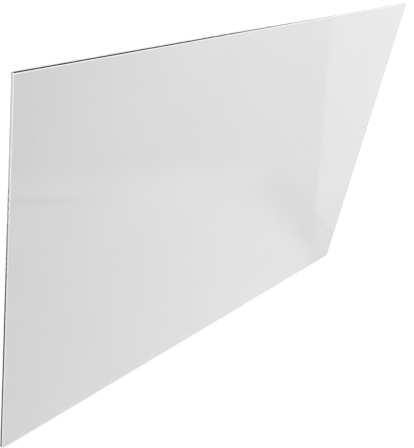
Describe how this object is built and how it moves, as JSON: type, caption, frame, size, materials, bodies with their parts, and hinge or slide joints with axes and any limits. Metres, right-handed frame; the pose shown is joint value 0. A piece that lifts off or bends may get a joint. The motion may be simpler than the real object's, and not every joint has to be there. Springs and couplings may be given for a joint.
{
  "type": "pickguard sheet",
  "caption": "Flat rectangular blank of glossy white laminated plastic, whose black core ply shows as a thin line round the cut edges; stock for cutting guitar scratch plates.",
  "frame": {"origin": "centre of the back face, on the surface that the sheet lies on", "axes": "+X along the sheet's length, +Y along its width, +Z out of the gloss face"},
  "size_m": [0.435, 0.29, 0.0028],
  "materials": {
    "white_back": "satin",
    "black_core": "satin",
    "white_face": "gloss"
  },
  "bodies": {
    "root": {"back_ply": "white_back", "core_ply": "black_core", "face_ply": "white_face"}
  },
  "joints": []
}
